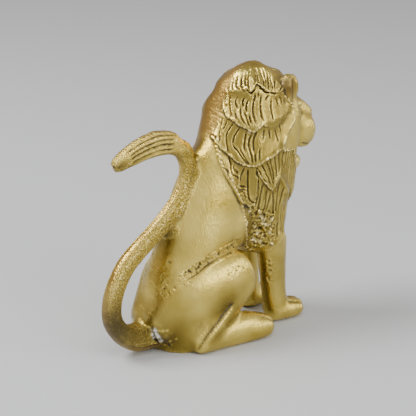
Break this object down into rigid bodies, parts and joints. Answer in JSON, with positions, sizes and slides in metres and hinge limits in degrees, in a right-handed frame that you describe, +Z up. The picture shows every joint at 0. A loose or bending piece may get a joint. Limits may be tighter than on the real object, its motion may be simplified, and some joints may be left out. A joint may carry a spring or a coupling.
{
  "type": "brass lion statue",
  "caption": "Seated lion cast in solid brass, with a mane of carved locks and a tail that curls up the back, made to stand on a shelf or desk.",
  "frame": {"origin": "on the ground, under the middle of the lion's box", "axes": "+Z up, the lion faces -Y, its left side is +X"},
  "size_m": [0.0423, 0.0956, 0.0998],
  "materials": {
    "brass": "satin, sand-cast and hand-filed"
  },
  "bodies": {
    "root": {"lion": "brass"}
  },
  "joints": []
}
